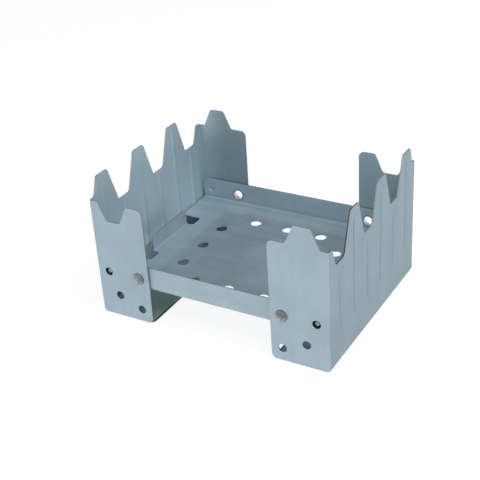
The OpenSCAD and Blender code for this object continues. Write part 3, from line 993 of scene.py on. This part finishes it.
# %% [markdown]
# Metal is mostly a picture of what is round it, so the stage matters more than the lamps. The floor
# is white and wide. It glows for the rays that see it or mirror it, so it is a clean white, and it
# keeps a faint shadow. The sky is white low down and nearly dark overhead, as in a small studio with
# a white table and a dim ceiling.

# %% Stage: floor and sky
floor_half_size = 3.0
floor_white, floor_roughness = 0.92, 0.9
glow_strength, glow_share = 1.11, 0.8
sky_levels = ((0.0, 1.0), (0.12, 1.0), (0.3, 0.9), (0.45, 0.5), (0.65, 0.1))


def floor_paper():
    """Matt white paper, mixed with a glow for the rays that see it or mirror it."""
    material = bpy.data.materials.new("floor_paper")
    material.use_nodes = True
    tree = material.node_tree
    paper = tree.nodes["Principled BSDF"]
    paper.inputs["Base Color"].default_value = (floor_white, floor_white, floor_white, 1)
    paper.inputs["Roughness"].default_value = floor_roughness
    paper.inputs["Specular IOR Level"].default_value = 0.0
    glow = tree.nodes.new("ShaderNodeEmission")
    glow.inputs["Strength"].default_value = glow_strength
    path = tree.nodes.new("ShaderNodeLightPath")
    seen = largest(tree, path.outputs["Is Camera Ray"], path.outputs["Is Glossy Ray"],
                   path.outputs["Is Transmission Ray"])
    both = tree.nodes.new("ShaderNodeMixShader")
    tree.links.new(product(tree, seen, glow_share), both.inputs["Fac"])
    tree.links.new(paper.outputs[0], both.inputs[1])
    tree.links.new(glow.outputs[0], both.inputs[2])
    tree.links.new(both.outputs[0], tree.nodes["Material Output"].inputs["Surface"])
    return material


def studio_sky():
    """A grey world. Each of its levels is a place up the sky, where 1 is overhead, and its brightness."""
    world = bpy.data.worlds.new("studio")
    world.use_nodes = True
    tree = world.node_tree
    direction = tree.nodes.new("ShaderNodeTexCoord")
    parts = tree.nodes.new("ShaderNodeSeparateXYZ")
    ramp = tree.nodes.new("ShaderNodeValToRGB")
    tree.links.new(direction.outputs["Generated"], parts.inputs[0])
    tree.links.new(parts.outputs["Z"], ramp.inputs["Fac"])
    while len(ramp.color_ramp.elements) < len(sky_levels):
        ramp.color_ramp.elements.new(0.5)
    for stop, (up, grey) in zip(ramp.color_ramp.elements, sky_levels):
        stop.position, stop.color = up, (grey, grey, grey, 1)
    tree.links.new(ramp.outputs["Color"], tree.nodes["Background"].inputs["Color"])
    return world


floor_bm = bmesh.new()
bmesh.ops.create_grid(floor_bm, x_segments=1, y_segments=1, size=floor_half_size)
floor = as_object("floor", floor_bm, floor_paper())
bpy.context.scene.world = studio_sky()
print("floor", [round(side, 2) for side in floor.dimensions], "m; sky levels", len(sky_levels))

# %% [markdown]
# Three soft lamps shape the walls: the key lamp high in front and to the right, one high at the right,
# and a weak one low in front and to the left. Each is a wide area lamp, because a small lamp would
# draw hard shadows, and the photograph has soft ones.

# %% Stage: lamps
lamp_size, lamp_distance, lamp_aim_z = 0.6, 1.0, 30 * mm


def toward(azimuth, elevation):
    """The direction at these degrees. Azimuth 0 is in front, and 90 is to the right."""
    around, up = math.radians(azimuth), math.radians(elevation)
    return Vector((math.sin(around) * math.cos(up), -math.cos(around) * math.cos(up), math.sin(up)))


def soft_lamp(name, azimuth, elevation, watts):
    """A square area lamp that shines on the stove from that direction."""
    lamp = bpy.data.objects.new(name, bpy.data.lights.new(name, "AREA"))
    lamp.data.size, lamp.data.energy = lamp_size, watts
    lamp.location = Vector((0, 0, lamp_aim_z)) + toward(azimuth, elevation) * lamp_distance
    lamp.rotation_euler = toward(azimuth, elevation).to_track_quat("Z", "Y").to_euler()
    bpy.context.scene.collection.objects.link(lamp)
    print(name, "at", [round(c, 2) for c in lamp.location])


soft_lamp("key_lamp", azimuth=45, elevation=60, watts=4.4)
soft_lamp("right_lamp", azimuth=95, elevation=60, watts=2.55)
soft_lamp("low_front_lamp", azimuth=-45, elevation=12, watts=0.7)

# %% [markdown]
# The camera stands where the photograph was taken from: in front, to the right and about thirty
# degrees above the floor, leaning a few degrees, with a long lens. The angles come from fitting the
# stove's own corners to the picture.

# %% Camera
back = toward(azimuth=31.30, elevation=29.07)
lean = math.radians(-3.77)
distance = 395.3 * mm
target = Vector((-6.21, -3.18, 22.92)) * mm
focal_pixels, frame_pixels, sensor_width = 1025.4, 480, 36.0

camera = bpy.data.objects.new("camera", bpy.data.cameras.new("camera"))
bpy.context.scene.collection.objects.link(camera)
right = Vector((0, 0, 1)).cross(back).normalized()
not_leaning = Matrix((right, back.cross(right), back)).transposed().to_4x4()
viewpoint = Matrix.Translation(target + back * distance)
camera.matrix_world = viewpoint @ not_leaning @ Matrix.Rotation(lean, 4, "Z")
camera.data.sensor_width = sensor_width
camera.data.lens = focal_pixels / frame_pixels * sensor_width
bpy.context.scene.camera = camera
bpy.context.scene.view_settings.view_transform = "Standard"
print("lens", round(camera.data.lens, 1), "mm, camera", round(distance / mm), "mm from the stove")
